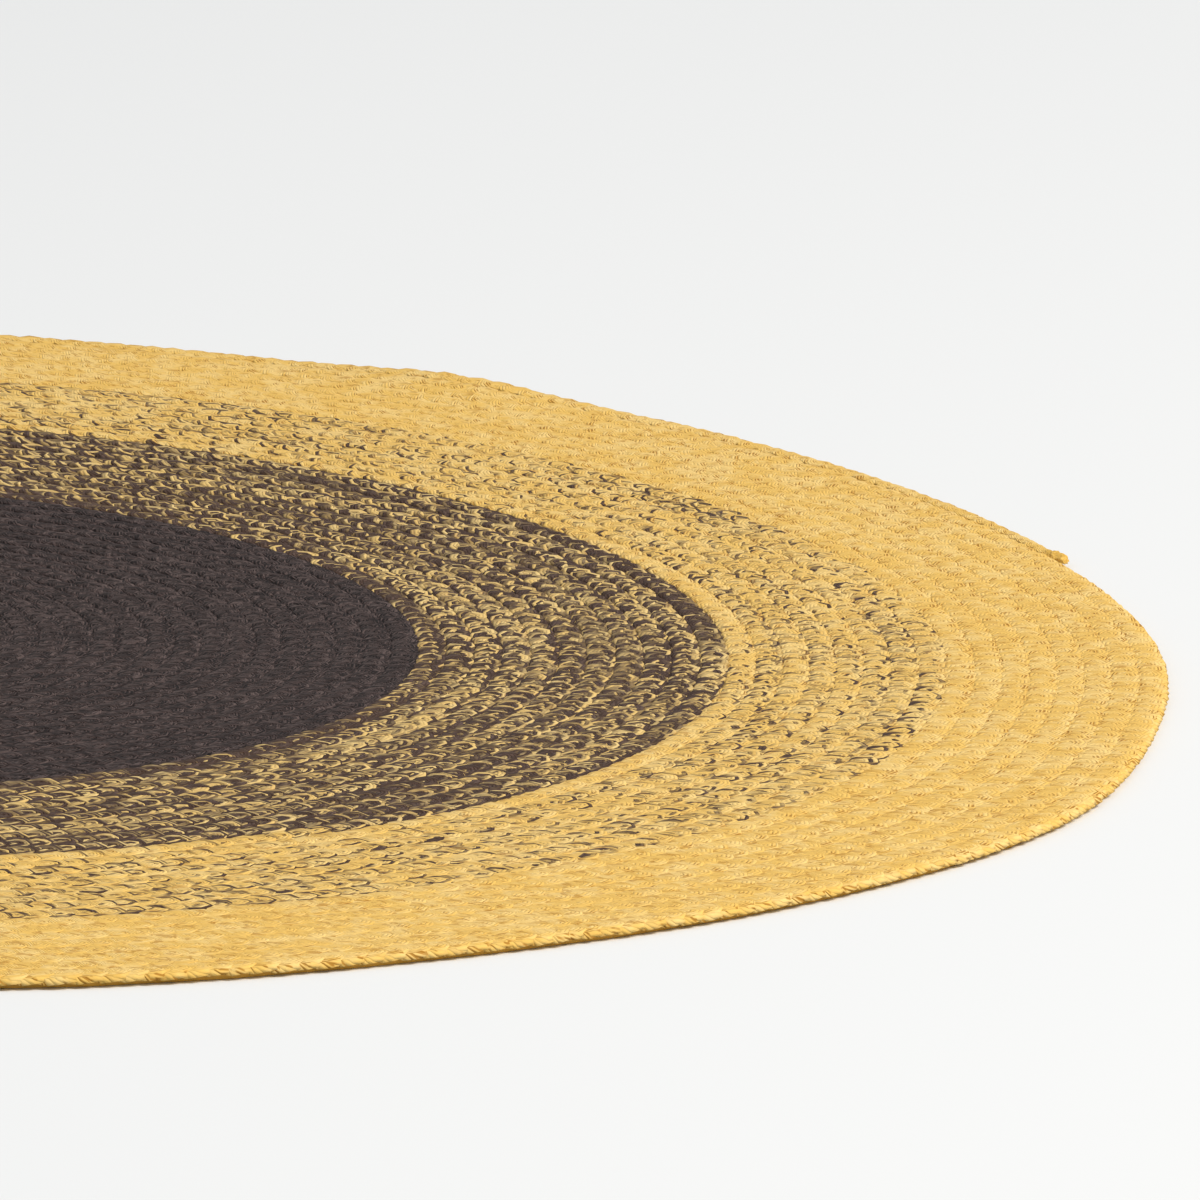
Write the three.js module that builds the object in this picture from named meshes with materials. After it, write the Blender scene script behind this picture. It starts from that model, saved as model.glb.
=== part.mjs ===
// Round braided cotton rug, lying flat.
//
// One flat braid is wound into a coil and sewn edge to edge, row beside row. The braid is made
// up of four lengths of different yarn, sewn on one after the other from the centre outwards:
// all dark yarn, dark and yellow mixed, yellow with dark flecks, and plain yellow. Each length
// is its own solid here, a strip of the same coil, and every row of the braid shows as a rib.
//
// Units are millimetres and degrees. +Z is up, the rug rests on z = 0 and the origin is the
// middle of its outline. The solids are made around the coil's centre and moved there at the
// end. Seen from above the braid winds outwards clockwise, and it ends at TAIL_ANGLE, measured
// counter-clockwise from +X.

import * as THREE from 'three';

// Driving dimensions of the coil
const STEPS_PER_TURN = 64;
const KNOT_RADIUS = 6; // folded start of the braid, at the centre
const TAIL_ANGLE = 21.5;
const TAIL_TAPER_STEPS = 5; // the braid's end narrows over these steps
const TAIL_TAPER = 4.2; // and is this much narrower where it stops
const GAP = 0.3; // between two lengths of braid, and between their ends

// Driving heights of the braid
const CREST_HEIGHT = 5.6; // middle of a row
const GROOVE_HEIGHT = 3.9; // sewn groove between two rows
const RIM_HEIGHT = 3.1; // shoulder of the outermost row
const FOOT_INSET = 1.5; // how far the rim draws in where it meets the floor

// The lengths of braid, from the centre outwards: whole turns of the coil and the steps left
// over, and the radius of the braid's outer edge where the length ends
const LENGTHS = [
  { name: 'dark_centre', turns: 25, steps: 0, endRadius: 290.5, colour: 0x4a4142 },
  { name: 'mottled_band', turns: 10, steps: 38, endRadius: 416.4, colour: 0x8f7a50 },
  { name: 'flecked_band', turns: 8, steps: 31, endRadius: 512.3, colour: 0xcfac5d },
  { name: 'yellow_border', turns: 8, steps: 20, endRadius: 602, colour: 0xe6bd63 },
];
const YARN_ROUGHNESS = 0.95;

// Where hand sewing has let the rim out of round: middle and half width of the stretch, and
// how far it is pushed out at the rim
const BULGES = [
  { angle: -75, halfWidth: 14, push: 8 },
  { angle: -44, halfWidth: 14, push: 8 },
  { angle: -25, halfWidth: 13, push: 15 },
  { angle: 3, halfWidth: 16, push: 6 },
];
const BULGE_FROM_RADIUS = 470;

// The low ripple in which the edge stands off the floor
const RIPPLE = { angle: 60.5, halfWidth: 5, height: 4 };
const RIPPLE_FROM_RADIUS = 545;
const RIPPLE_ROWS = 4; // rows of the border whose underside follows the ripple

const DEGREE = Math.PI / 180;
const FULL_TURN = 360;

// Each length with its own strip of the coil, in steps counted from the knot
function layOutLengths() {
  let startStep = 0;
  let startRadius = KNOT_RADIUS;
  return LENGTHS.map((length) => {
    const count = length.turns * STEPS_PER_TURN + length.steps;
    const laid = { ...length, startStep, startRadius, endStep: startStep + count };
    startStep = laid.endStep;
    startRadius = laid.endRadius;
    return laid;
  });
}

const laidLengths = layOutLengths();
const rimLength = laidLengths[laidLengths.length - 1];
const lastStep = rimLength.endStep;
const rimRadius = rimLength.endRadius;

function angleAt(step) {
  return TAIL_ANGLE + ((lastStep - step) * FULL_TURN) / STEPS_PER_TURN;
}

// Radius of the braid's outer edge at a step, before the rim is let out of round
function edgeRadius(step) {
  const length = laidLengths.find((each) => step <= each.endStep);
  const share = (step - length.startStep) / (length.endStep - length.startStep);
  const radius = length.startRadius + share * (length.endRadius - length.startRadius);
  const tapered = Math.max(0, step - (lastStep - TAIL_TAPER_STEPS)) / TAIL_TAPER_STEPS;
  return radius - tapered * TAIL_TAPER;
}

function bellCurve(angle, centre, halfWidth) {
  const turned = THREE.MathUtils.euclideanModulo(angle - centre + FULL_TURN / 2, FULL_TURN);
  return Math.exp(-(((turned - FULL_TURN / 2) / halfWidth) ** 2));
}

// A point of the rug at an angle, a radius and a height above the rug's own underside
function pointAt(angle, radius, height) {
  const outward = THREE.MathUtils.smoothstep(radius, BULGE_FROM_RADIUS, rimRadius);
  const push = BULGES.reduce(
    (sum, bulge) => sum + bulge.push * bellCurve(angle, bulge.angle, bulge.halfWidth),
    0,
  );
  const lifted = THREE.MathUtils.smoothstep(radius, RIPPLE_FROM_RADIUS, rimRadius);
  const lift = RIPPLE.height * lifted * bellCurve(angle, RIPPLE.angle, RIPPLE.halfWidth);
  const pushed = radius + outward * push;
  return new THREE.Vector3(
    pushed * Math.cos(angle * DEGREE),
    pushed * Math.sin(angle * DEGREE),
    height + lift,
  );
}

// One length of braid as a closed solid: ribbed top, walls, butt ends and flat underside
function braidSolid(length) {
  const isKnotEnd = length.startStep === 0;
  const isRimEnd = length === rimLength;
  const firstStep = isKnotEnd ? STEPS_PER_TURN : length.startStep;
  const sections = length.endStep - firstStep;
  const turn = STEPS_PER_TURN;
  const points = [];
  const triangles = [];
  const addPoint = (point) => points.push(point) - 1;
  const addTriangle = (a, b, c) => triangles.push(a, b, c);
  const addQuad = (a, b, c, d) => {
    addTriangle(a, b, c);
    addTriangle(a, c, d);
  };

  // Radius of the groove line, which starts one turn before the braid does
  const grooveRadius = (i) => {
    const onInnerEdge = i <= turn && !isKnotEnd;
    return edgeRadius(firstStep - turn + i) + (onInnerEdge ? GAP : 0);
  };
  // The braid's first section stands clear of the end of the length before it
  const grooveAngle = (i) => {
    const angle = angleAt(firstStep - turn + i);
    const atStart = (i === 0 || i === turn) && !isKnotEnd;
    return atStart ? angle - GAP / grooveRadius(i) / DEGREE : angle;
  };

  const grooves = [];
  for (let i = 0; i <= sections + turn; i += 1) {
    const height = isRimEnd && i > sections ? RIM_HEIGHT : GROOVE_HEIGHT;
    grooves.push(addPoint(pointAt(grooveAngle(i), grooveRadius(i), height)));
  }
  const crests = [];
  for (let i = 0; i <= sections; i += 1) {
    const radius = (grooveRadius(i) + grooveRadius(i + turn)) / 2;
    const angle = i === 0 ? grooveAngle(0) : angleAt(firstStep + i);
    crests.push(addPoint(pointAt(angle, radius, CREST_HEIGHT)));
  }
  for (let i = 0; i < sections; i += 1) {
    addQuad(grooves[i], grooves[i + 1], crests[i + 1], crests[i]);
    addQuad(crests[i], crests[i + 1], grooves[i + 1 + turn], grooves[i + turn]);
  }

  // The underside's outlines, one turn of groove line each, from the inner edge to the outer
  const starts = isKnotEnd ? [sections] : [0, sections];
  if (isRimEnd) {
    const inRipple = [RIPPLE_ROWS, RIPPLE_ROWS / 2].map((row) => sections - row * turn);
    starts.splice(1, 0, ...inRipple);
  }
  const outlines = starts.map((start) => {
    const inset = isRimEnd && start === sections ? FOOT_INSET : 0;
    const outline = [];
    for (let i = start; i <= start + turn; i += 1) {
      outline.push(addPoint(pointAt(grooveAngle(i), grooveRadius(i) - inset, 0)));
    }
    return outline;
  });
  outlines.forEach((outline, which) => {
    const isBand = which > 0;
    if (isBand || isKnotEnd) {
      addUnderside(points, addTriangle, outline, isBand ? outlines[which - 1] : []);
    }
  });

  // Outer wall and the cut end
  const outer = outlines[outlines.length - 1];
  for (let i = 0; i < turn; i += 1) {
    addQuad(outer[i], grooves[sections + i], grooves[sections + i + 1], outer[i + 1]);
  }
  addQuad(outer[0], outer[turn], grooves[sections + turn], crests[sections]);
  addTriangle(outer[0], crests[sections], grooves[sections]);

  // Inner wall and the start of the braid, or the closed knot at the coil's centre
  if (isKnotEnd) {
    const knot = addPoint(pointAt(0, 0, CREST_HEIGHT));
    const around = [...grooves.slice(0, turn + 1), crests[0], grooves[0]];
    for (let i = 0; i + 1 < around.length; i += 1) {
      addTriangle(knot, around[i + 1], around[i]);
    }
  } else {
    const inner = outlines[0];
    for (let i = 0; i < turn; i += 1) {
      addQuad(inner[i], inner[i + 1], grooves[i + 1], grooves[i]);
    }
    addQuad(inner[0], crests[0], grooves[turn], inner[turn]);
    addTriangle(inner[0], grooves[0], crests[0]);
  }

  const geometry = new THREE.BufferGeometry().setFromPoints(points);
  geometry.setIndex(triangles);
  geometry.computeVertexNormals();
  return geometry;
}

// The flat face between an outline and the next outline inside it, facing down
function addUnderside(points, addTriangle, outline, hole) {
  const flat = (index) => new THREE.Vector2(points[index].x, points[index].y);
  const indices = [...outline, ...hole];
  const holes = hole.length > 0 ? [hole.map(flat)] : [];
  const faces = THREE.ShapeUtils.triangulateShape(outline.map(flat), holes);
  for (const face of faces) {
    const [a, b, c] = face.map((each) => indices[each]);
    const facesUp = THREE.ShapeUtils.area([flat(a), flat(b), flat(c)]) > 0;
    addTriangle(a, facesUp ? c : b, facesUp ? b : c);
  }
}

const rug = new THREE.Group();
for (const length of laidLengths) {
  const yarn = new THREE.MeshStandardMaterial({
    color: length.colour,
    roughness: YARN_ROUGHNESS,
    metalness: 0,
  });
  const band = new THREE.Mesh(braidSolid(length), yarn);
  band.name = length.name;
  rug.add(band);
}

const outlineBox = new THREE.Box3().setFromObject(rug);
const middle = outlineBox.getCenter(new THREE.Vector3());
rug.position.set(-middle.x, -middle.y, 0);

export default rug;
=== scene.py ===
# %% [markdown]
# # A round braided cotton rug
# The real rug is one flat braid of three strands, wound into a coil and sewn edge to edge. Each
# strand is a loose bundle of cotton yarns. From the centre outwards the yarn is dark, then dark
# and yellow mixed, then yellow with a few dark yarns, then plain mustard yellow.
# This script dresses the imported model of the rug. Every strand is a real swept form here, because
# at the camera's low angle the rounded strands hide and shade one another, and bump alone on a
# flat disc can't do that.

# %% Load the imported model
import math
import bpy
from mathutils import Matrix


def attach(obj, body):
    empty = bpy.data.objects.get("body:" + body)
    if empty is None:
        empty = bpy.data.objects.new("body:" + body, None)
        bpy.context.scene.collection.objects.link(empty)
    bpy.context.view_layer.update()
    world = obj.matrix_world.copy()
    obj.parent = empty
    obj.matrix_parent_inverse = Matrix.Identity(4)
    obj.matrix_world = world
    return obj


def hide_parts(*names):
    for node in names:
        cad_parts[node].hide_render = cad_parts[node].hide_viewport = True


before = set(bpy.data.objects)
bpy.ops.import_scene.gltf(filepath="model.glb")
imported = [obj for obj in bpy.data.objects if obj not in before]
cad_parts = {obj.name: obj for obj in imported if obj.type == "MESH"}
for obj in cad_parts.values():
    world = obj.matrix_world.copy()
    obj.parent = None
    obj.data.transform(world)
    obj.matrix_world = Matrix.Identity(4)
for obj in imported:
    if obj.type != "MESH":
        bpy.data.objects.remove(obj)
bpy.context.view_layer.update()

from types import SimpleNamespace

import bmesh
import bpy
import numpy as np
from mathutils import Matrix, Vector

print("nodes:", sorted(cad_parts))

# %% [markdown]
# ## The coil
# The rows of the rug are turns of one spiral. A turn has 64 steps, and each length of braid gives
# its own number of steps and the radius that it reaches. These are the same driving sizes and the
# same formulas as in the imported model, here in metres, so that every row lies on its own rib.

# %% Driving sizes of the coil
MM = 0.001
FULL_TURN = 360
STEPS_PER_TURN = 64
KNOT_RADIUS = 6 * MM  # folded start of the braid, at the centre
TAIL_ANGLE = 21.5  # where the braid ends, counter-clockwise from +X
TAIL_TAPER_STEPS = 5  # the braid's end narrows over these steps
TAIL_TAPER = 4.2 * MM  # and is this much narrower where it stops

LENGTHS = [
    {"node": "dark_centre", "turns": 25, "steps": 0, "end_radius": 290.5 * MM},
    {"node": "mottled_band", "turns": 10, "steps": 38, "end_radius": 416.4 * MM},
    {"node": "flecked_band", "turns": 8, "steps": 31, "end_radius": 512.3 * MM},
    {"node": "yellow_border", "turns": 8, "steps": 20, "end_radius": 602 * MM},
]
# Where hand sewing has let the rim out of round, and the low ripple in which it stands off the floor
BULGES = [
    {"angle": -75, "half_width": 14, "push": 8 * MM},
    {"angle": -44, "half_width": 14, "push": 8 * MM},
    {"angle": -25, "half_width": 13, "push": 15 * MM},
    {"angle": 3, "half_width": 16, "push": 6 * MM},
]
BULGE_FROM_RADIUS = 470 * MM
RIPPLE = {"angle": 60.5, "half_width": 5, "height": 4 * MM}
RIPPLE_FROM_RADIUS = 545 * MM

length_ends = np.cumsum([STEPS_PER_TURN * each["turns"] + each["steps"] for each in LENGTHS])
LAST_STEP = int(length_ends[-1])
RIM_ROW_STEP = LAST_STEP - STEPS_PER_TURN  # where the outermost row starts
RIM_RADIUS = LENGTHS[-1]["end_radius"]
print("steps at the ends of the lengths:", length_ends.tolist())

# %% Where the braid runs
def edge_radius(step):
    """Radius of the braid's outer edge at each step, before the rim is let out of round."""
    first_slope = (LENGTHS[0]["end_radius"] - KNOT_RADIUS) / length_ends[0]
    known_steps = [-STEPS_PER_TURN, 0, *length_ends]
    known_radii = [KNOT_RADIUS - STEPS_PER_TURN * first_slope, KNOT_RADIUS]
    known_radii += [each["end_radius"] for each in LENGTHS]
    tapered = np.maximum(0, step - (LAST_STEP - TAIL_TAPER_STEPS)) / TAIL_TAPER_STEPS
    return np.interp(step, known_steps, known_radii) - tapered * TAIL_TAPER


def smooth_rise(value, low, high):
    share = np.clip((value - low) / (high - low), 0, 1)
    return share * share * (3 - 2 * share)


def bell_curve(angle, centre, half_width):
    turned = (angle - centre + FULL_TURN / 2) % FULL_TURN - FULL_TURN / 2
    return np.exp(-((turned / half_width) ** 2))


def angle_at(step):
    return TAIL_ANGLE + (LAST_STEP - step) * FULL_TURN / STEPS_PER_TURN


def point_at(angle, radius, height):
    """Points of the rug around the coil's own centre, with the rim's bulges and its ripple."""
    push = sum(each["push"] * bell_curve(angle, each["angle"], each["half_width"]) for each in BULGES)
    pushed = radius + smooth_rise(radius, BULGE_FROM_RADIUS, RIM_RADIUS) * push
    lift = RIPPLE["height"] * bell_curve(angle, RIPPLE["angle"], RIPPLE["half_width"])
    lifted = height + smooth_rise(radius, RIPPLE_FROM_RADIUS, RIM_RADIUS) * lift
    turned = np.radians(angle)
    return np.stack([pushed * np.cos(turned), pushed * np.sin(turned), lifted], axis=1)


rim_steps = np.arange(RIM_ROW_STEP, LAST_STEP + 1)
rim_points = point_at(angle_at(rim_steps), edge_radius(rim_steps), np.zeros(len(rim_steps)))
COIL_CENTRE = -(rim_points.min(axis=0) + rim_points.max(axis=0)) / 2
COIL_CENTRE[2] = 0
print("coil's centre in metres:", COIL_CENTRE.round(5).tolist())

# %% [markdown]
# ## The braid's middle line
# Everything that follows the braid starts from one long line along the middle of its rows. It is
# made as a plain mesh of edges, because a tree of nodes can walk along such a line and read the
# numbers that are stored on its points.
# Four numbers are stored. Half the braid's width changes where the coil winds tighter, where it is
# pushed out, and at the tapered end. The relief is how much of their own height the strands keep:
# the mottled braid is plump, and the yellow border is sewn and pressed flat. The slope across a
# row is there only on the ripple. The last number marks the outermost row, whose outer side turns
# down to the floor.

# %% The middle line, from the knot to the tail
FINE_STEP = 1 / 4  # the middle line has four points for each step of the coil
START_STEP = 6  # the knot covers the first steps


def make_mesh_object(name, points, edges=(), faces=()):
    mesh = bpy.data.meshes.new(name)
    mesh.from_pydata(points, edges, faces)
    mesh.update()
    made = bpy.data.objects.new(name, mesh)
    bpy.context.scene.collection.objects.link(made)
    return made


fine_steps = np.arange(START_STEP, LAST_STEP + FINE_STEP / 2, FINE_STEP)
on_floor = np.zeros(len(fine_steps))
outer_side = point_at(angle_at(fine_steps), edge_radius(fine_steps), on_floor)
inner_side = point_at(angle_at(fine_steps), edge_radius(fine_steps - STEPS_PER_TURN), on_floor)
middle_line = (outer_side + inner_side) / 2 + COIL_CENTRE
line_edges = [(i, i + 1) for i in range(len(middle_line) - 1)]
braid_line = make_mesh_object("braid_line", middle_line.tolist(), line_edges)

stretches = np.linalg.norm(np.diff(middle_line, axis=0), axis=1)
line_lengths = np.concatenate([[0], np.cumsum(stretches)])
LENGTH_ENDS_M = np.interp(length_ends, fine_steps, line_lengths)
print("braid in metres:", round(float(line_lengths[-1]), 2))
print("its lengths end at:", LENGTH_ENDS_M.round(2).tolist())

# %% What the line carries
DARK_END_STEP, MOTTLED_END_STEP, FLECKED_END_STEP = length_ends[:3]
RIM_BLEND_STEP = LAST_STEP - 1.3 * STEPS_PER_TURN  # from here the row turns into the outermost one
RELIEFS = [  # a step of the coil, and the share of the strands' relief that is kept there
    (0, 0.5),
    (DARK_END_STEP, 0.5),
    (DARK_END_STEP + STEPS_PER_TURN / 2, 0.65),
    (MOTTLED_END_STEP, 0.75),
    (MOTTLED_END_STEP + STEPS_PER_TURN, 0.5),
    (FLECKED_END_STEP, 0.3),
    (RIM_BLEND_STEP, 0.2),
    (RIM_ROW_STEP, 0.25),
]


def store_values(made, name, values, domain="POINT"):
    """Stores a number for each point or face of a mesh, under a name that node trees can read."""
    attribute = made.data.attributes.new(name, "FLOAT", domain)
    attribute.data.foreach_set("value", np.asarray(values, np.float32))


half_widths = np.linalg.norm(outer_side - inner_side, axis=1) / 2
store_values(braid_line, "half_width", half_widths)
store_values(braid_line, "relief", np.interp(fine_steps, *zip(*RELIEFS)))
store_values(braid_line, "cross_slope", (outer_side - inner_side)[:, 2] / (2 * half_widths))
store_values(braid_line, "rim", np.interp(fine_steps, [RIM_BLEND_STEP, RIM_ROW_STEP], [0, 1]))
print("half a row in millimetres:", (half_widths.min() / MM).round(2), (half_widths.max() / MM).round(2))

# %% [markdown]
# ## Trees of nodes, written as sums
# Both the strands and the finishes are trees of nodes. Placing and linking each node by hand hides
# the formula that the nodes stand for. So this small helper adds nodes to a tree, and wraps each
# output so that an ordinary sum on it adds Math nodes.

# %% Sums on the outputs of nodes
class Output:
    """One output of a node. Sums on it add Math nodes to the same tree."""

    def __init__(self, tree, socket):
        self.tree = tree
        self.socket = socket

    def math(self, operation, *others):
        return self.tree.math(operation, self, *others)

    def __add__(self, other):
        return self.math("ADD", other)

    __radd__ = __add__

    def __mul__(self, other):
        return self.math("MULTIPLY", other)

    __rmul__ = __mul__

    def __sub__(self, other):
        return self.math("SUBTRACT", other)

    def __rsub__(self, other):
        return self.tree.math("SUBTRACT", other, self)

    def __truediv__(self, other):
        return self.math("DIVIDE", other)

    def __rtruediv__(self, other):
        return self.tree.math("DIVIDE", other, self)

    def __gt__(self, other):
        return self.math("GREATER_THAN", other)

    def rise(self, low, high):
        """0 below low, 1 above high, and a smooth rise between them."""
        settings = {"interpolation_type": "SMOOTHSTEP"}
        inputs = {"Value": self, "From Min": low, "From Max": high}
        return self.tree.add("ShaderNodeMapRange", settings, inputs).out("Result")

# %% A tree to add nodes to
class Added:
    """A node that was just added."""

    def __init__(self, tree, node):
        self.tree = tree
        self.node = node

    def out(self, which=0):
        return Output(self.tree, self.node.outputs[which])


class Tree:
    """A node tree, with one way to add any node, and short forms for the most common ones."""

    def __init__(self, node_tree):
        self.node_tree = node_tree

    def add(self, kind, settings=None, inputs=None):
        node = self.node_tree.nodes.new(kind)
        for name, value in (settings or {}).items():
            setattr(node, name, value)
        for which, value in (inputs or {}).items():
            if isinstance(value, Output):
                self.node_tree.links.new(value.socket, node.inputs[which])
            else:
                node.inputs[which].default_value = value
        return Added(self, node)

    def math(self, operation, *values):
        inputs = dict(enumerate(values))
        return self.add("ShaderNodeMath", {"operation": operation}, inputs).out()

    def vector(self, x=0.0, y=0.0, z=0.0):
        return self.add("ShaderNodeCombineXYZ", {}, {"X": x, "Y": y, "Z": z}).out()

    def axis(self, vector, letter):
        return self.add("ShaderNodeSeparateXYZ", {}, {"Vector": vector}).out(letter)

    def mix(self, share, low, high, blend="MIX"):
        """Two colours, mixed or multiplied."""
        settings = {"data_type": "RGBA", "blend_type": blend}
        return self.add("ShaderNodeMix", settings, {0: share, 6: low, 7: high}).out(2)

# %% [markdown]
# ## One strand of the braid
# In a flat braid the three strands take turns: a strand comes over the top from the middle of the
# row to its side, then goes back underneath, and does the same on the other side. Seen from above
# its path is a sine wave, and its height is a sine wave of twice that pace. The other two strands
# do the same a third of a period later.
# Modelling 10,000 single loops by hand would be hopeless, and the rule is simple, so Geometry
# Nodes follow it: they walk along the middle line in even sections, push each section aside and
# up by the two waves, and sweep a small flattened outline along the result. The swing, the height,
# the girth and the pace of the waves wander a little, because soft yarn never lies quite even.
# Each wander reads a noise at a place of its own, and a fixed seed moves all four at once.

# %% Sizes of the braid
STRANDS = 3
PERIOD = 28.2 * MM  # after this length a strand is back on the same side
SECTIONS_PER_PERIOD = 8
SECTION_STEP = PERIOD / SECTIONS_PER_PERIOD

STRAND_SIZES = {  # the same for all strands, and named inputs of the tree
    "Section Step": SECTION_STEP,
    "Sections Per Period": SECTIONS_PER_PERIOD,
    "Strands": STRANDS,
    "Nominal Half Width": 5.85 * MM,  # of the braid, where a strand has its plain girth
    "Swing": 0.56,  # how far a strand swings to the side, as a share of half the braid's width
    "Quick Crossing": 0.1,  # above 0 a strand crosses the row's middle at a steeper angle
    "Rise": 0.5 * MM,  # and how far it rises and dips
    "Tilt": 0.5 * MM,  # the outer side of a row lies this much lower, and the inner side higher
    "Middle Height": 3.4 * MM,
    "Top Height": 5.3 * MM,  # strands that keep little relief are levelled towards this height
    "Strand Half Width": 4.2 * MM,
    "Strand Half Height": 1.8 * MM,
    "Sides": 5,  # of the outline that is swept, with one corner down as a keel
    "Swing Wander": 0.35 * MM,
    "Height Wander": 0.3 * MM,
    "Phase Wander": 0.8,
    "Seed": 0.0,
}
# How quickly each size wanders, where it reads the noise, and how far apart the strands read it
WANDERS = {
    "phase": {"per_metre": 18, "place": 57.1, "apart": 0},
    "swing": {"per_metre": 55, "place": 9.4, "apart": 31.7},
    "height": {"per_metre": 30, "place": 23.9, "apart": 31.7},
    "girth": {"per_metre": 50, "place": 41.3, "apart": 31.7},
}
NOISE_MIDDLE = 0.5
NOISE_TO_ONE = 3  # a noise seldom leaves its middle by more than a third
GIRTH = 1.14
GIRTH_WANDER = 0.1
GIRTH_PER_RELIEF = 0.14  # levelled strands are pressed wider
KEEL_LIMIT = 0.1  # the keel is the only corner whose place across, squared, is below this
RIM_SIDE = (0.2, 0.9)  # between these shares of half a row the rim turns down
RIM_DROP = 1.1  # above 1 the outer side even sinks a little, instead of being raised
print("period in metres:", PERIOD, "section in metres:", SECTION_STEP)

# %% Stored numbers in a tree
def read_stored(tree, name):
    """A number that is stored on the geometry which the asking node works on."""
    settings = {"data_type": "FLOAT"}
    return tree.add("GeometryNodeInputNamedAttribute", settings, {"Name": name}).out()


def add_stored(tree, geometry, values):
    """Stores several numbers on the points of a geometry, each under its name."""
    settings = {"data_type": "FLOAT", "domain": "POINT"}
    for name, value in values.items():
        inputs = {"Geometry": geometry, "Name": name, "Value": value}
        geometry = tree.add("GeometryNodeStoreNamedAttribute", settings, inputs).out()
    return geometry

# %% The path of a strand
def lay_strand(tree, asked):
    """A strand as a curve, with the numbers on its points that its sweep and its yarn need."""
    line = tree.add("GeometryNodeMeshToCurve", {}, {"Mesh": asked("Geometry")}).out()
    index = tree.add("GeometryNodeInputIndex").out()
    period = asked("Section Step") * asked("Sections Per Period")
    behind = period * asked("Strand") / asked("Strands")
    along = index * asked("Section Step") + asked("Start") + behind

    def on_line(name):
        """The middle line at this place along it, and one of the numbers that it carries."""
        settings = {"mode": "LENGTH", "data_type": "FLOAT"}
        inputs = {"Curves": line, "Value": read_stored(tree, name), "Length": along}
        return tree.add("GeometryNodeSampleCurve", settings, inputs)

    def wander(size):
        """A slow random number from about -1 to 1 along this strand."""
        habit = WANDERS[size]
        place = along * habit["per_metre"] + asked("Strand") * habit["apart"] + habit["place"]
        inputs = {"W": place + asked("Seed"), "Scale": 1.0, "Detail": 1.0}
        noise = tree.add("ShaderNodeTexNoise", {"noise_dimensions": "1D"}, inputs).out("Fac")
        return (noise - NOISE_MIDDLE) * NOISE_TO_ONE

    here = on_line("half_width")
    half_width = here.out("Value")
    relief = on_line("relief").out("Value")
    slope = on_line("cross_slope").out("Value")

    phase = index / asked("Sections Per Period") * (2 * math.pi)
    phase = phase + wander("phase") * asked("Phase Wander")
    top = (phase * 2).math("SINE")
    side = (phase + top * asked("Quick Crossing")).math("SINE")
    swing = side * asked("Swing") * half_width + wander("swing") * asked("Swing Wander")
    height = top * asked("Rise") - side * relief * asked("Tilt") + asked("Middle Height")
    height = height + wander("height") * asked("Height Wander") + slope * swing
    ahead_x = tree.axis(here.out("Tangent"), "X")
    ahead_y = tree.axis(here.out("Tangent"), "Y")
    aside = tree.vector(ahead_y * swing * -1, ahead_x * swing, height)
    inputs = {0: here.out("Position"), 1: aside}
    place = tree.add("ShaderNodeVectorMath", {"operation": "ADD"}, inputs).out()
    girth = wander("girth") * GIRTH_WANDER + GIRTH - relief * GIRTH_PER_RELIEF

    points = tree.add("GeometryNodeMeshLine", {"mode": "OFFSET"}, {"Count": asked("Sections") + 1})
    strand = tree.add("GeometryNodeMeshToCurve", {}, {"Mesh": points.out()}).out()
    inputs = {"Geometry": strand, "Position": place}
    strand = tree.add("GeometryNodeSetPosition", {}, inputs).out()
    strand = add_stored(tree, strand, {
        "along": along,
        "side": side,
        "swing": swing,
        "girth": half_width / asked("Nominal Half Width") * girth,
        "kept_relief": relief,
        "cross_slope": slope,
        "ground": tree.axis(here.out("Position"), "Z") + slope * swing,
        "rim": on_line("rim").out("Value"),
    })
    return tree.add("GeometryNodeSetCurveNormal", {"mode": "Z_UP"}, {"Curve": strand}).out()

# %% [markdown]
# ## The outline that is swept, and its levelled top
# A strand shows about twenty pixels wide and is shaded smooth, so an outline of five corners is
# enough, and it keeps the twelve pieces light. Its lowest corner is a keel that nobody sees. Each
# corner stores how far across the strand it lies, and the yarns are painted by that number later.
# A real braid is pressed flat by sewing and by feet. So after the sweep every corner but the keel
# is moved towards one common height, by the share of relief that the row has lost. All heights
# count from the ground under the strand, so that the ripple stays, and a strand on the ripple
# rolls with it. On the outermost row the outer side stays low, as the rim's rounded shoulder.

# %% Outline and levelling
def strand_outline(tree, asked):
    """The flattened outline of a strand, one corner down."""
    inputs = {"Resolution": asked("Sides"), "Radius": 1.0}
    ring = tree.add("GeometryNodeCurvePrimitiveCircle", {}, inputs).out()
    inputs = {"Geometry": ring, "Rotation": (0, 0, math.pi / 2)}
    keel_down = tree.add("GeometryNodeTransform", {}, inputs).out()
    at = tree.add("GeometryNodeInputPosition").out()
    marked = add_stored(tree, keel_down, {"across": tree.axis(at, "X")})
    flattening = tree.vector(asked("Strand Half Width"), asked("Strand Half Height"), 1.0)
    return tree.add("GeometryNodeTransform", {}, {"Geometry": marked, "Scale": flattening}).out()


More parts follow.
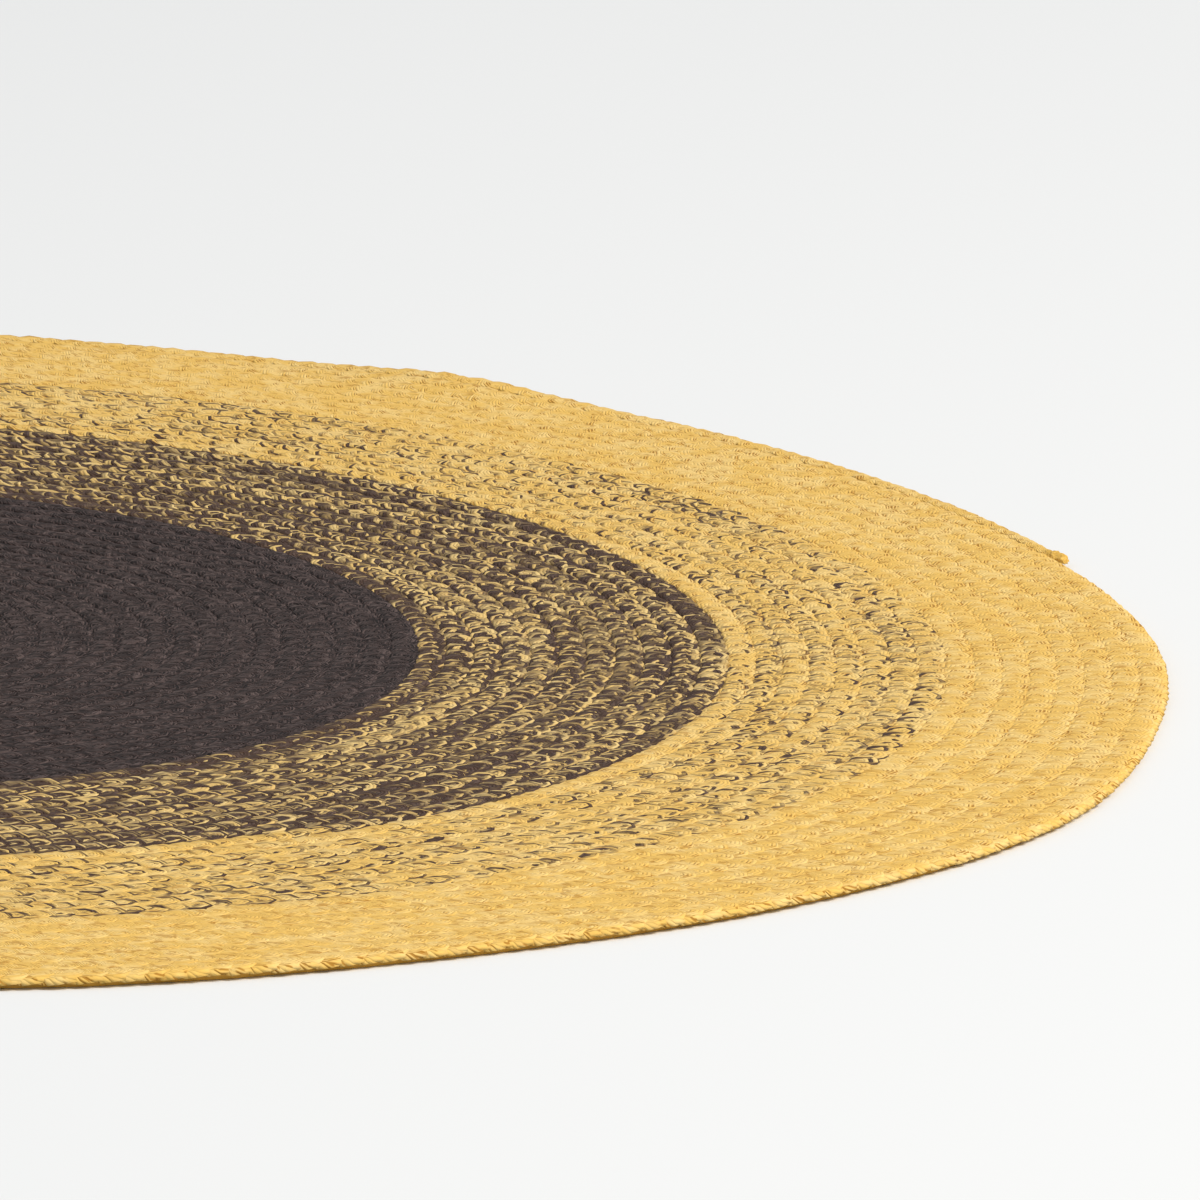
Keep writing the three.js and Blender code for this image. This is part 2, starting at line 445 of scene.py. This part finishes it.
def level_top(tree, asked, swept):
    """Presses the swept strand flat, rolls it with the ripple and turns the rim down."""
    across = read_stored(tree, "across")
    relief = read_stored(tree, "kept_relief")
    at = tree.add("GeometryNodeInputPosition").out()
    height = tree.axis(at, "Z") - read_stored(tree, "ground")
    not_keel = across * across > KEEL_LIMIT
    outward = read_stored(tree, "swing") - across * asked("Strand Half Width")
    on_edge = (outward / asked("Nominal Half Width")).rise(*RIM_SIDE) * read_stored(tree, "rim")
    lowered = (RIM_DROP - relief) * on_edge
    raised = (asked("Top Height") - height) * (1 - relief - lowered) * not_keel
    rolled = across * asked("Strand Half Width") * read_stored(tree, "cross_slope") * -1
    inputs = {"Geometry": swept, "Offset": tree.vector(z=raised + rolled)}
    return tree.add("GeometryNodeSetPosition", {}, inputs).out()

# %% The tree that makes one strand
def new_geometry_tree(name, sockets):
    """An empty Geometry Nodes tree with a geometry output and these named inputs."""
    group = bpy.data.node_groups.new(name, "GeometryNodeTree")
    group.interface.new_socket("Geometry", in_out="OUTPUT", socket_type="NodeSocketGeometry")
    group.interface.new_socket("Geometry", in_out="INPUT", socket_type="NodeSocketGeometry")
    for socket_name, kind in sockets.items():
        group.interface.new_socket(socket_name, in_out="INPUT", socket_type="NodeSocket" + kind)
    return group


def make_strand_tree():
    sockets = {"Start": "Float", "Sections": "Int", "Strand": "Int", "Yarn": "Material"}
    for name, size in STRAND_SIZES.items():
        sockets[name] = "Int" if isinstance(size, int) else "Float"
    group = new_geometry_tree("braid_strand", sockets)
    tree = Tree(group)
    asked = tree.add("NodeGroupInput").out
    inputs = {
        "Curve": lay_strand(tree, asked),
        "Profile Curve": strand_outline(tree, asked),
        "Scale": read_stored(tree, "girth"),
        "Fill Caps": True,
    }
    swept = tree.add("GeometryNodeCurveToMesh", {}, inputs).out()
    level = level_top(tree, asked, swept)
    smooth = tree.add("GeometryNodeSetShadeSmooth", {}, {"Geometry": level}).out()
    real = tree.add("GeometryNodeRealizeInstances", {}, {"Geometry": smooth}).out()
    inputs = {"Geometry": real, "Material": asked("Yarn")}
    dressed = tree.add("GeometryNodeSetMaterial", {}, inputs).out()
    tree.add("NodeGroupOutput", {}, {"Geometry": dressed})
    return group


strand_tree = make_strand_tree()
print("strand tree:", len(strand_tree.nodes), "nodes")

# %% [markdown]
# ## The yarn
# Cotton yarn is matt and slightly fuzzy. A strand is a bundle of ten yarns that turns once while
# the braid repeats once. About five show side by side, and each is two plies twisted together. All
# of it is finer than a mesh of this size can hold, so it is a material. It reads how far along and
# across the strand a point lies, from the stored numbers, and so the yarns follow every turn of
# the braid. From these it works out which yarn lies at a point, and how far the point is from that
# yarn's ridge.
# In the mixed lengths each yarn is either dark or yellow for a hand's breadth or two, then another
# takes its place. A noise that changes slowly along the strand, and jumps from one yarn to the
# next, decides which. The share of dark yarns is a plain number for each length.

# %% Sizes of the yarn
YARNS_AROUND = 10
YARNS_ACROSS = 5
TURNS_PER_PERIOD = 1  # turns of twist in the bundle of yarns, while the braid repeats once
YARN_SLANT = 1.9  # how many yarns the bundle rolls aside on its way across a row
DRIFT_LENGTH = 80 * MM  # over about this length the bundle also rolls at random
DRIFT_YARNS = 5  # and by up to this many yarns
DRIFT_SEED = 2.1
STRAND_SEED = 5.7
TWIST_LENGTH = 3.2 * MM  # one turn of the two plies around each other
PLY_SLANT = 0.7
PLY_SEED = 0.37
FIBRE_LENGTH = 2.5 * MM
FIBRES_ACROSS = 5
FIBRE_SEED = 7.3
FIBRE_DETAIL = 2.0
GAP_EDGE = (0.0, 0.25)  # how near the side of a yarn the gap between two yarns starts

# Noises that run along a yarn: their length, and the fixed places where each yarn reads them
YARN_NOISES = {
    "lot": {"length": 60 * MM, "apart": 11.9, "place": 5.3, "detail": 1.0},
    "opening": {"length": 7 * MM, "apart": 9.1, "place": 0.7, "detail": 1.0},
    "streak": {"length": 35 * MM, "apart": 5.3, "place": 1.7, "detail": 3.0},
    "run": {"length": 220 * MM, "apart": 17.3, "place": 0.0, "detail": 1.0},
}
yarn_width = 2 * STRAND_SIZES["Strand Half Width"] / YARNS_ACROSS
print("a yarn is about this wide, in millimetres:", round(yarn_width / MM, 2))

# %% Which yarn lies where
def find_yarns(tree):
    """Numbers over a strand's surface: where a point lies on it, its yarn, and the noises."""

    def read(name):
        return tree.add("ShaderNodeAttribute", {"attribute_name": name}).out("Fac")

    def flat_noise(x, y, detail=1.0):
        inputs = {"Vector": tree.vector(x, y), "Scale": 1.0, "Detail": detail}
        return tree.add("ShaderNodeTexNoise", {"noise_dimensions": "2D"}, inputs).out("Fac")

    along = read("along")
    across = read("across")
    side = read("side")
    strand = read("strand")
    drift = flat_noise(along / DRIFT_LENGTH, strand * STRAND_SEED + DRIFT_SEED) * DRIFT_YARNS
    turned = along * (YARNS_AROUND * TURNS_PER_PERIOD / PERIOD)
    lane = (across + 1) * (YARNS_ACROSS / 2) + (drift + side * YARN_SLANT) - turned
    number = lane.math("FLOOR").math("FLOORED_MODULO", YARNS_AROUND)
    yarn = number + strand * (YARNS_AROUND + 1)  # no two yarns of the braid share a number

    in_yarn = lane.math("FRACT")
    from_ridge = in_yarn * 2 - 1
    ridge = 1 - from_ridge * from_ridge
    turns = along / TWIST_LENGTH + in_yarn * PLY_SLANT + yarn * PLY_SEED
    fibre_place = lane * FIBRES_ACROSS + yarn * FIBRE_SEED
    noises = {
        name: flat_noise(along / each["length"], yarn * each["apart"] + each["place"], each["detail"])
        for name, each in YARN_NOISES.items()
    }
    return SimpleNamespace(
        along=along,
        across=across,
        side=side,
        ridge=ridge,
        gap=(1 - ridge).rise(*GAP_EDGE),
        twist=(turns * (2 * math.pi)).math("SINE") * 0.5 + 0.5,
        fibre=flat_noise(along / FIBRE_LENGTH, fibre_place, FIBRE_DETAIL),
        **noises,
    )

# %% [markdown]
# ## The colours of the cotton
# Dyed cotton is never one flat colour. Yellow yarn is paler in streaks along the yarn, and paler
# still in soft patches of painted light; some stretches are a little deeper, and short ochre ticks
# of painted shade show where one looks down between two yarns, mostly at the sides of a row.
# Beside much dark yarn it looks a little dusty. Dark yarn is faded where it is fuzzy, painted
# nearly black as shade in the pits, and browner next to yellow.
# An image can't follow a braid of a hundred metres, so noises and the numbers above mix plain
# colours.

# %% Yellow and dark cotton
YELLOW = (0.84, 0.53, 0.13, 1)
YELLOW_PALE = (0.89, 0.62, 0.22, 1)
# Painted shade: a deeper yellow for the hollows of the tail's fuzz and for the yarn inside the braid
YELLOW_SHADED = (0.62, 0.36, 0.07, 1)  # of the tail, and of the yarn inside the braid
DUSTY = (0.62, 0.49, 0.27, 1)
# Ochre for deeper stretches of yarn, and as painted shade in the ticks between yarns
OCHRE_TONE_AND_SHADE = (0.46, 0.21, 0.028, 1)
DARK = (0.021, 0.013, 0.012, 1)
DARK_FADED = (0.118, 0.083, 0.076, 1)
# Painted shade: near black for the pits between dark yarns
DARK_PIT_SHADE = (0.008, 0.005, 0.005, 1)
BROWN = (0.115, 0.062, 0.037, 1)

# How much each noise counts for, and between which of its values a mark appears
FADE_AND_LIGHT_RANGE = (0.42, 0.62)
# Painted soft light: noise patches in object space that make the yellow paler
LIGHT_PATCHES_PER_METRE = 70.0
LIGHT_PATCH_DETAIL = 2.0
PALE_BY_LIGHT_PATCH = 0.6
PALE_BY_STREAK = 0.4
FADED_BY_STREAK = 0.4
FADED_BY_FIBRE = 0.6
LOT_RANGE = (0.5, 0.8)
LOT_SHARE = 0.2
# Painted shade: ochre ticks in the gaps between yarns
SHADE_TICK_RANGE = (0.56, 0.63)
SHADE_TICK_SHARE = 0.9
SHADE_TICK_SIDES = (0.1, 0.6)
SHADE_TICKS_IN_MIDDLE = 0.2  # ticks in the middle of a row are this faint beside those at its sides
# Painted shade in the pits between dark yarns
PIT_SHADE_RANGE = (0.44, 0.56)
PIT_SHADE_SHARE = 0.95


def yellow_cotton(tree, on, dust):
    # Paler yellow: painted soft light from patches in object space, mixed with the yarn's own paler
    # streaks
    place = tree.add("ShaderNodeTexCoord").out("Object")
    inputs = {"Vector": place, "Scale": LIGHT_PATCHES_PER_METRE, "Detail": LIGHT_PATCH_DETAIL}
    light_patch = tree.add("ShaderNodeTexNoise", {}, inputs).out("Fac")
    pale = (light_patch * PALE_BY_LIGHT_PATCH + on.streak * PALE_BY_STREAK).rise(*FADE_AND_LIGHT_RANGE)
    # Painted shade: ochre ticks where the gaps between yarns open, strongest at a row's sides
    at_side = (on.side * on.side).rise(*SHADE_TICK_SIDES) * (1 - SHADE_TICKS_IN_MIDDLE) + SHADE_TICKS_IN_MIDDLE
    shade_tick = on.gap * on.opening.rise(*SHADE_TICK_RANGE) * at_side
    colour = tree.mix(pale, YELLOW, YELLOW_PALE)
    colour = tree.mix(on.lot.rise(*LOT_RANGE) * LOT_SHARE + shade_tick * SHADE_TICK_SHARE, colour, OCHRE_TONE_AND_SHADE)
    return tree.mix(dust, colour, DUSTY)


def dark_cotton(tree, on, browned):
    faded = (on.streak * FADED_BY_STREAK + on.fibre * FADED_BY_FIBRE).rise(*FADE_AND_LIGHT_RANGE)
    colour = tree.mix(faded, DARK, DARK_FADED)
    # Painted shade: the pits between dark yarns go nearly black
    colour = tree.mix(on.gap * on.opening.rise(*PIT_SHADE_RANGE) * PIT_SHADE_SHARE, colour, DARK_PIT_SHADE)
    return tree.mix(browned, colour, BROWN)


print("yellow:", YELLOW[:3], "dark:", DARK[:3])

# %% [markdown]
# ## Which yarns are dark, and the finish as a whole
# Each length has its own mix. A stop gives a place along the braid in metres, the share of dark
# yarns from there on, and over how many metres the change comes. A share above 1 makes all yarns
# dark, and one below 0 makes none dark, whatever the noise says. Dust dulls the yellow, broken
# cuts a dark run up into flecks, and browned mixes brown into the dark.
# The gaps between yarns and the sides of a strand get only a little shade in the colour itself,
# because the light does the rest. The ridges, plies and fibres become bump.

# %% Mixes of yarn
DARK_END, MOTTLED_END = LENGTH_ENDS_M[:2]
BRAID_START = -1  # any place before the knot
YARN_MIXES = {
    "dark_centre": {
        "stops": [(BRAID_START, 1.8, 0.1)],
        "dust": 0.3,
        "broken": 0.1,
        "browned": 0.0,
    },
    "mottled_band": {
        "stops": [
            (BRAID_START, 1.8, 0.1),
            (DARK_END - 0.05, 0.85, 0.1),
            (DARK_END + 1.6, 0.68, 0.4),
        ],
        "dust": 0.36,
        "broken": 0.2,
        "browned": 0.42,
    },
    "flecked_band": {
        "stops": [
            (BRAID_START, 0.66, 0.1),
            (MOTTLED_END - 0.05, 0.12, 0.15),
            (MOTTLED_END + 1.9, 0.0, 0.2),
            (MOTTLED_END + 2.5, 0.24, 0.3),
        ],
        "dust": 0.08,
        "broken": 0.4,
        "browned": 0.5,
    },
    "yellow_border": {
        "stops": [(BRAID_START, -0.8, 0.1)],
        "dust": 0.0,
        "broken": 0.0,
        "browned": 0.0,
    },
}
NOISE_SPAN = 0.42  # a share is turned into a level of the noise, which seldom leaves this span
FRAYED = 0.10  # how much single fibres blur the ends of a run
CHOICE_EDGE = 0.12  # dark and yellow blend this far to either side of the level
EVEN_SHARE = 0.5  # for this share of dark yarns the level is the middle of the noise


def share_that_is_dark(on, mix):
    """0 on yellow yarn and 1 on dark yarn."""
    share = 0.0
    before = 0.0
    for place, wanted, reach in mix["stops"]:
        share = on.along.rise(place, place + reach) * (wanted - before) + share
        before = wanted
    chosen = on.run + (on.fibre - NOISE_MIDDLE) * FRAYED
    chosen = chosen + (on.opening - NOISE_MIDDLE) * mix["broken"]
    level = (EVEN_SHARE - share) * NOISE_SPAN + NOISE_MIDDLE
    return (chosen - level).rise(-CHOICE_EDGE, CHOICE_EDGE)


print("mixes change at, in metres:", round(float(DARK_END), 2), round(float(MOTTLED_END), 2))

# %% The yarn finishes
YARN_ROUGHNESS = 0.9
COTTON_SHEEN = 0.03
COTTON_SHINE = 0.1
YARN_RELIEF = 0.3 * MM
TWIST_RELIEF = 0.12  # beside the relief of a yarn's ridge
FIBRE_RELIEF = 0.35
GAP_SHADE = 0.9  # the gaps between two yarns, and between two strands, keep this share of light
RIDGE_EDGE = (0.0, 0.6)
STRAND_EDGE = (0.35, 0.95)
FIBRE_SHADE = 0.25
FIBRE_SHADE_FROM = 0.84


def new_finish(name):
    """An empty material, and its tree to add nodes to."""
    material = bpy.data.materials.new(name)
    material.use_nodes = True
    material.node_tree.nodes.clear()
    return material, Tree(material.node_tree)


def set_surface(tree, inputs):
    shader = tree.add("ShaderNodeBsdfPrincipled", {}, inputs)
    tree.add("ShaderNodeOutputMaterial", {}, {"Surface": shader.out()})


def make_yarn(name, mix):
    material, tree = new_finish(name)
    on = find_yarns(tree)
    yellow = yellow_cotton(tree, on, mix["dust"])
    dark = dark_cotton(tree, on, mix["browned"])
    colour = tree.mix(share_that_is_dark(on, mix), yellow, dark)

    in_strand = 1 - (on.across * on.across).rise(*STRAND_EDGE)
    shade = on.fibre * FIBRE_SHADE + FIBRE_SHADE_FROM
    shade = shade * (on.ridge.rise(*RIDGE_EDGE) * (1 - GAP_SHADE) + GAP_SHADE)
    shade = shade * (in_strand * (1 - GAP_SHADE) + GAP_SHADE)
    colour = tree.mix(1.0, colour, tree.vector(shade, shade, shade), "MULTIPLY")

    height = on.ridge + on.twist * TWIST_RELIEF + on.fibre * FIBRE_RELIEF
    inputs = {"Height": height, "Strength": 1.0, "Distance": YARN_RELIEF}
    bump = tree.add("ShaderNodeBump", {}, inputs).out()
    set_surface(tree, {
        "Base Color": colour,
        "Normal": bump,
        "Roughness": YARN_ROUGHNESS,
        "Sheen Weight": COTTON_SHEEN,
        "Specular IOR Level": COTTON_SHINE,
    })
    return material


yarns = {node: make_yarn(node + "_yarn", mix) for node, mix in YARN_MIXES.items()}
print("yarn finishes:", sorted(yarns))

# %% [markdown]
# ## Growing the strands
# Three strands for each of the four lengths make twelve pieces. Each starts where the one before
# it ends, on a whole number of periods, so the braid runs on through a change of yarn. The tree
# runs as a modifier on a copy of the middle line, and the result is kept as a plain mesh.
# Each strand is more than twenty metres long. Laid out in one piece on an image, it would be far
# thinner than a pixel. So each strand also gets a map for baking its finish into an image, which
# cuts it into equal stretches and lays them side by side.

# %% Running the tree
def plain_mesh_from(tree, name, source, inputs):
    """Runs a Geometry Nodes tree on the source's mesh and gives the result as a plain object."""
    made = bpy.data.objects.new(name, source.data)
    bpy.context.scene.collection.objects.link(made)
    modifier = made.modifiers.new(name, "NODES")
    modifier.node_group = tree
    for item in tree.interface.items_tree:
        if item.in_out == "INPUT" and item.name in inputs:
            modifier[item.identifier] = inputs[item.name]
    ready = made.evaluated_get(bpy.context.evaluated_depsgraph_get())
    mesh = bpy.data.meshes.new_from_object(ready)
    made.modifiers.remove(modifier)
    made.data = mesh
    mesh.name = name
    return made

# %% A map for baking
LANE_WIDTH = 20 * MM  # about the way around a strand
LANE_MARGIN = 0.03
CAP_PLACE = 0.998  # both cut ends share a speck in the map's corner
CAP_RADIUS = 0.001
CORNERS = 4  # of each face along a strand


def add_bake_map(made, sections):
    """Unwraps a strand: equal stretches of it lie side by side as lanes."""
    sides = STRAND_SIZES["Sides"]
    quads = sections * sides
    around = np.arange(quads).repeat(CORNERS) % sides
    section = np.arange(quads).repeat(CORNERS) // sides
    corner = np.tile(np.arange(CORNERS), quads)
    in_lane = round(math.sqrt(sections * LANE_WIDTH / SECTION_STEP))
    lanes = math.ceil(sections / in_lane)
    u = (section % in_lane + (corner >= 2)) / in_lane
    share = (around + ((corner == 1) | (corner == 2))) / sides
    v = (section // in_lane + LANE_MARGIN + (1 - 2 * LANE_MARGIN) * share) / lanes
    turned = np.arange(2 * sides) * 2 * math.pi / sides
    ends = CAP_PLACE + CAP_RADIUS * np.stack([np.cos(turned), np.sin(turned)], axis=1)
    corners = np.concatenate([np.stack([u, v], axis=1), ends]).astype(np.float32)
    made.data.uv_layers.new(name="OFBake").data.foreach_set("uv", corners.ravel())

# %% The twelve strands
TAIL_CLEAR = 3 * MM  # the last strands stop this far before the end of the braid
strand_pieces = []
start = 0.0
for each, end in zip(LENGTHS, LENGTH_ENDS_M):
    node = each["node"]
    periods = round((end - start) / PERIOD)
    for strand in range(STRANDS):
        sections = periods * SECTIONS_PER_PERIOD
        if each is LENGTHS[-1]:
            left = end - TAIL_CLEAR - start - strand * PERIOD / STRANDS
            sections = int(left / SECTION_STEP)
        piece = plain_mesh_from(strand_tree, f"{node}_strand_{strand + 1}", braid_line, {
            "Start": start,
            "Sections": sections,
            "Strand": strand,
            "Yarn": yarns[node],
            **STRAND_SIZES,
        })
        store_values(piece, "strand", np.full(len(piece.data.vertices), strand))
        add_bake_map(piece, sections)
        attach(piece, "root")
        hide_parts(node)
        strand_pieces.append(piece)
    start += periods * PERIOD
bpy.data.objects.remove(braid_line)
triangles = [sum(len(face.vertices) - 2 for face in piece.data.polygons) for piece in strand_pieces]
print("strands:", len(strand_pieces), "triangles in all:", sum(triangles), "most:", max(triangles))

# %% [markdown]
# ## The tail of the braid
# At the rim the maker turns the three strands' ends under and sews them down. What shows is a
# small rounded lump beside the last row. It is too small for its folds to be seen, so a ball is
# stretched along the row, and two waves make it lumpy, as a sewn bundle is. Its finish is the
# yellow of the yarn with fine fuzz, and the fuzz's hollows are painted a deeper yellow as shade.

# %% The tail
TAIL_SIZE = (17 * MM, 9 * MM, 4.8 * MM)
TAIL_MIDDLE_HEIGHT = 3.4 * MM
TAIL_OUTWARD = 0.45  # its place, from the last row's middle (0) to its outer side (1)
TAIL_BACK = 2 * MM  # its middle lies this far before the end of the braid
TAIL_AIM_POINTS = 4  # it points along these last points of the middle line
TAIL_SUBDIVISIONS = 4
TAIL_LUMPS = [  # how deep, in which direction and how close the waves are, and their start
    {"depth": 0.10, "waves": (9.0, 5.0, 3.0), "start": 0},
    {"depth": 0.06, "waves": (2.0, 17.0, 6.0), "start": 1},
]
FUZZ_PER_METRE = 500.0
FUZZ_DETAIL = 3.0
FUZZ_RANGE = (0.35, 0.7)
FUZZ_RELIEF = 1.5 * MM


def make_tail():
    centre = middle_line[-1] * (1 - TAIL_OUTWARD) + (outer_side[-1] + COIL_CENTRE) * TAIL_OUTWARD
    ahead = middle_line[-1] - middle_line[-TAIL_AIM_POINTS]
    ahead = ahead / np.linalg.norm(ahead)
    aside = np.array([-ahead[1], ahead[0], 0])
    centre = centre - ahead * TAIL_BACK + np.array([0, 0, TAIL_MIDDLE_HEIGHT])
    ball = bmesh.new()
    bmesh.ops.create_icosphere(ball, subdivisions=TAIL_SUBDIVISIONS, radius=1)
    points = np.array([corner.co[:] for corner in ball.verts])
    faces = [tuple(corner.index for corner in face.verts) for face in ball.faces]
    ball.free()
    lumps = np.ones(len(points))
    for each in TAIL_LUMPS:
        lumps = lumps + each["depth"] * np.sin(points @ np.array(each["waves"]) + each["start"])
    points = points * lumps[:, None] * np.array(TAIL_SIZE) / 2
    placed = centre + points @ np.array([ahead, aside, (0, 0, 1)])
    made = make_mesh_object("tail_end", placed.tolist(), (), faces)
    made.data.polygons.foreach_set("use_smooth", [True] * len(faces))
    return made


def make_tail_finish():
    material, tree = new_finish("tail_yarn")
    place = tree.add("ShaderNodeTexCoord").out("Object")
    inputs = {"Vector": place, "Scale": FUZZ_PER_METRE, "Detail": FUZZ_DETAIL}
    fuzz = tree.add("ShaderNodeTexNoise", {}, inputs).out("Fac")
    inputs = {"Height": fuzz, "Strength": 1.0, "Distance": FUZZ_RELIEF}
    set_surface(tree, {
        # Painted shade: the low places of the fuzz take the deeper, shaded yellow
        "Base Color": tree.mix(fuzz.rise(*FUZZ_RANGE), YELLOW_SHADED, YELLOW),
        "Normal": tree.add("ShaderNodeBump", {}, inputs).out(),
        "Roughness": YARN_ROUGHNESS,
        "Specular IOR Level": COTTON_SHINE,
    })
    return material


tail = make_tail()
tail.data.materials.append(make_tail_finish())
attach(tail, "root")
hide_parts("yellow_border")
strand_pieces.append(tail)
print("tail faces:", len(tail.data.polygons))

# %% [markdown]
# ## The yarn inside the braid
# Between the strands one looks into the braid, never through it to the floor. More strands below
# the visible ones would double the mesh for nothing. So one closed sheet stands for the yarn
# inside: it follows the grooves of the coil, its top lies level with the middles of the strands,
# and each face knows how dark its length of the braid is.

# %% The sheet inside
INNER_TOP = 3.5 * MM
INNER_RIM_TOP = 2.2 * MM
INNER_BOTTOM = 0.2 * MM
INNER_INSET = 2.0 * MM  # at the rim, so that it stays hidden
INNER_MIDDLE_RADIUS = KNOT_RADIUS / 4  # of the point that closes the coil's centre
INNER_DARK_SHARES = [1.0, 0.75, 0.1, -0.2]  # of the four lengths; below 0 no spot is dark
SPOTS_PER_METRE = 90.0
SPOT_DETAIL = 2.0
SPOT_SPAN = 0.6
SPOT_EDGE = 0.05


def make_bed():
    """A closed sheet along the grooves of the coil, with the share of dark yarn on its faces."""
    steps = np.arange(LAST_STEP + 1)
    on_rim = steps >= RIM_ROW_STEP
    radii = edge_radius(steps) - INNER_INSET * on_rim
    top = np.where(on_rim, INNER_RIM_TOP, INNER_TOP)
    layers = []
    for heights, middle_height in ((top, INNER_TOP), (0 * top + INNER_BOTTOM, INNER_BOTTOM)):
        layers.append(point_at(angle_at(steps), radii, heights))
        radius = np.full(1, INNER_MIDDLE_RADIUS)
        layers.append(point_at(np.zeros(1), radius, np.full(1, middle_height)))
    points = np.concatenate(layers) + COIL_CENTRE

    turn = STEPS_PER_TURN
    middle = LAST_STEP + 1  # the point that closes the coil's centre
    below = LAST_STEP + 2  # from a point of the top to the same point of the underside
    tops = [(middle, i + 1, i) for i in range(turn)] + [(middle, 0, turn)]
    tops += [(i, i + 1, i + 1 + turn, i + turn) for i in range(RIM_ROW_STEP)]
    bottoms = [tuple(corner + below for corner in reversed(face)) for face in tops]
    outline = [*range(RIM_ROW_STEP, LAST_STEP + 1), RIM_ROW_STEP]
    walls = [(a, b, b + below, a + below) for a, b in zip(outline, outline[1:])]
    faces = tops + bottoms + walls
    made = make_mesh_object("inner_yarn", points.tolist(), (), faces)

    face_steps = [max(i % below for i in face if i % below != middle) for face in faces]
    lengths = np.minimum(np.searchsorted(length_ends, face_steps), len(LENGTHS) - 1)
    store_values(made, "dark", np.array(INNER_DARK_SHARES)[lengths], "FACE")
    return made


def make_inner_finish():
    material, tree = new_finish("inner_yarn")
    dark = tree.add("ShaderNodeAttribute", {"attribute_name": "dark"}).out("Fac")
    place = tree.add("ShaderNodeTexCoord").out("Object")
    inputs = {"Vector": place, "Scale": SPOTS_PER_METRE, "Detail": SPOT_DETAIL}
    spots = tree.add("ShaderNodeTexNoise", {}, inputs).out("Fac")
    share = spots - NOISE_MIDDLE + (dark - EVEN_SHARE) * SPOT_SPAN
    share = share.rise(-SPOT_EDGE, SPOT_EDGE)
    set_surface(tree, {
        # Painted shade: yellow yarn inside the braid is given the deeper, shaded yellow
        "Base Color": tree.mix(share, YELLOW_SHADED, DARK),
        "Roughness": YARN_ROUGHNESS,
        "Specular IOR Level": COTTON_SHINE,
    })
    return material


bed = make_bed()
bed.data.materials.append(make_inner_finish())
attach(bed, "root")
print("faces of the sheet inside:", len(bed.data.polygons))

# %% [markdown]
# ## Floor, light and camera
# The rug lies on a pale, matt floor that is large enough to have no edge in view. One large soft
# lamp stands high at the right, so that the strands' left sides are a little darker, and the pale
# room fills the shade. The camera looks down at 13 degrees with a long lens, from eight metres
# away, and is rolled by about two degrees. The rug's left part lies outside its view.

# %% Floor and light
FLOOR_REACH = 60
FLOOR_COLOUR = (0.77, 0.78, 0.785, 1)
FLOOR_ROUGHNESS = 0.9
ROOM_COLOUR = (0.93, 0.96, 1.0, 1)
ROOM_STRENGTH = 0.55
LAMP_PLACE = (6.0, -1.8, 6.4)
LAMP_SIZE = 3.6
LAMP_POWER = 720
LAMP_COLOUR = (1.0, 0.96, 0.9)

floor_corners = [(-1, -1), (1, -1), (1, 1), (-1, 1)]
floor_points = [(x * FLOOR_REACH, y * FLOOR_REACH, 0) for x, y in floor_corners]
floor = make_mesh_object("floor", floor_points, (), [(0, 1, 2, 3)])
floor_finish, floor_tree = new_finish("pale_floor")
set_surface(floor_tree, {"Base Color": FLOOR_COLOUR, "Roughness": FLOOR_ROUGHNESS})
floor.data.materials.append(floor_finish)

room = bpy.data.worlds.new("soft_room")
room.use_nodes = True
background = room.node_tree.nodes["Background"]
background.inputs["Color"].default_value = ROOM_COLOUR
background.inputs["Strength"].default_value = ROOM_STRENGTH
bpy.context.scene.world = room
bpy.context.scene.view_settings.view_transform = "Standard"

lamp_data = bpy.data.lights.new("window_light", "AREA")
lamp_data.shape = "DISK"
lamp_data.size = LAMP_SIZE
lamp_data.energy = LAMP_POWER
lamp_data.color = LAMP_COLOUR
lamp = bpy.data.objects.new("window_light", lamp_data)
bpy.context.scene.collection.objects.link(lamp)
lamp.location = LAMP_PLACE
lamp.rotation_euler = (-Vector(LAMP_PLACE)).to_track_quat("-Z", "Y").to_euler()
print("lamp at, in metres:", LAMP_PLACE)

# %% Camera
CAMERA_FROM_COIL = Vector((0.35952, -8.18202, 1.92012))
CAMERA_PITCH = 13.014
CAMERA_ROLL = 1.883
CAMERA_LENS = 600
SENSOR_WIDTH = 36
CLIP_END = 200

camera_data = bpy.data.cameras.new("camera")
camera_data.lens = CAMERA_LENS
camera_data.sensor_width = SENSOR_WIDTH
camera_data.clip_end = CLIP_END
camera = bpy.data.objects.new("camera", camera_data)
bpy.context.scene.collection.objects.link(camera)
camera.location = Vector(COIL_CENTRE) + CAMERA_FROM_COIL
tilt = Matrix.Rotation(math.radians(90 - CAMERA_PITCH), 4, "X")
roll = Matrix.Rotation(math.radians(CAMERA_ROLL), 4, "Z")
camera.rotation_euler = (tilt @ roll).to_euler()
bpy.context.scene.camera = camera
print("camera at, in metres:", [round(value, 3) for value in camera.location])
